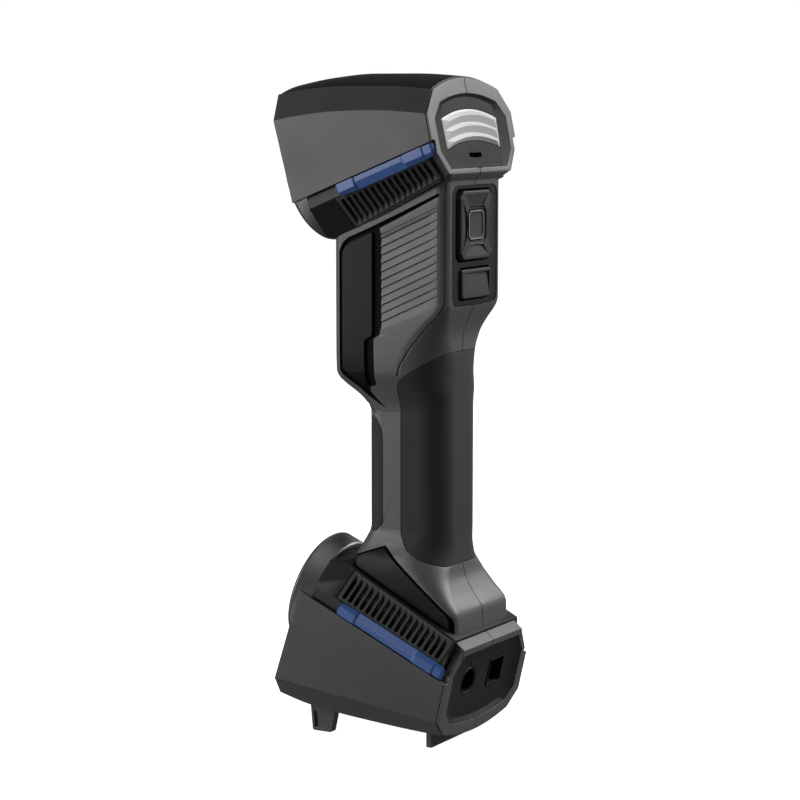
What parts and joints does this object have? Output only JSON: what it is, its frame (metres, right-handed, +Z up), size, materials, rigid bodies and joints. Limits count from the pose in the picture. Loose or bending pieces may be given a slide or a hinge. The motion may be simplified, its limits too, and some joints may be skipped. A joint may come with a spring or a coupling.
{
  "type": "handheld scanner",
  "caption": "Hand-held 3-D scanner: a rubber-gripped column between two angled camera heads, with a keypad and sockets at the back and feet to stand it on.",
  "frame": {"origin": "on the floor plane under its feet, at the middle of its bounding box", "axes": "+Z up along the grip, lenses towards -Y, keypad and sockets towards +Y, +X to the side with the round power socket"},
  "size_m": [0.0742, 0.0966, 0.2928],
  "materials": {
    "shell": "fine satin texture, charcoal grey",
    "wing": "fine matte texture, dark charcoal grey",
    "crown": "smooth matte black",
    "chassis": "matte black",
    "accent": "satin blue",
    "grip": "soft matte black rubber",
    "panel": "semi-gloss black",
    "key": "matte silicone rubber, dark grey",
    "socket": "matte black",
    "ring": "knurled and anodised, mid grey",
    "metal": "machined",
    "glass": "coated optical glass",
    "guide": "frosted translucent white",
    "board": "green solder mask"
  },
  "bodies": {
    "housing": {"shell_left": "shell", "shell_right": "shell", "rear_grip": "grip", "front_grip": "grip", "rib_plate_left": "wing", "rib_plate_right": "wing", "name_panel_left": "panel", "name_panel_right": "panel", "neck_panel_left": "panel", "neck_panel_right": "panel", "front_cover": "panel", "laser_window": "glass", "laser_module_1": "metal", "laser_module_2": "metal", "laser_module_3": "metal", "upper_wing_left": "wing", "upper_wing_right": "wing", "upper_vent_left": "chassis", "upper_vent_right": "chassis", "upper_accent_strip_left": "accent", "upper_accent_strip_right": "accent", "upper_chassis": "chassis", "upper_lens_ring": "ring", "upper_front_window": "glass", "upper_led_board": "board", "upper_camera_lens": "socket", "upper_sensor_board": "board", "lower_wing_left": "wing", "lower_wing_right": "wing", "lower_vent_left": "chassis", "lower_vent_right": "chassis", "lower_accent_strip_left": "accent", "lower_accent_strip_right": "accent", "lower_chassis": "chassis", "lower_lens_ring": "ring", "lower_front_window": "glass", "lower_led_board": "board", "lower_camera_lens": "socket", "lower_sensor_board": "board", "upper_crown": "crown", "base_cover": "crown", "upper_rear_panel": "panel", "light_guide": "guide", "lanyard_bar": "metal", "status_board": "board", "port_panel": "panel", "power_socket": "socket", "data_socket": "socket", "status_light_pipe": "guide", "interface_board": "board", "keypad_panel": "panel", "keypad_board": "board", "spine": "metal", "upper_heat_sink": "metal", "lower_heat_sink": "metal", "main_board": "board"},
    "gimbal": {"pad_gimbal": "key"},
    "pad": {"direction_pad": "key"},
    "select": {"select_key": "key"},
    "function": {"function_key": "key"}
  },
  "joints": [
    {"name": "pad_rock_sideways", "type": "hinge", "parent": "housing", "child": "gimbal", "pos_m": [0, 0.03232, 0.22805], "axis": [0, 0, 1], "range_deg": [-2.5, 2.5], "stiffness_Nm_per_rad": 0.4},
    {"name": "pad_rock_up_down", "type": "hinge", "parent": "gimbal", "child": "pad", "pos_m": [0, 0.03232, 0.22805], "axis": [1, 0, 0], "range_deg": [-2.5, 2.5], "stiffness_Nm_per_rad": 0.4},
    {"name": "select_press", "type": "slide", "parent": "pad", "child": "select", "axis": [0, -1, 0], "range_m": [0, 0.0006], "stiffness_N_per_m": 1500},
    {"name": "function_press", "type": "slide", "parent": "housing", "child": "function", "axis": [0, -1, 0], "range_m": [0, 0.0008], "stiffness_N_per_m": 1500}
  ]
}
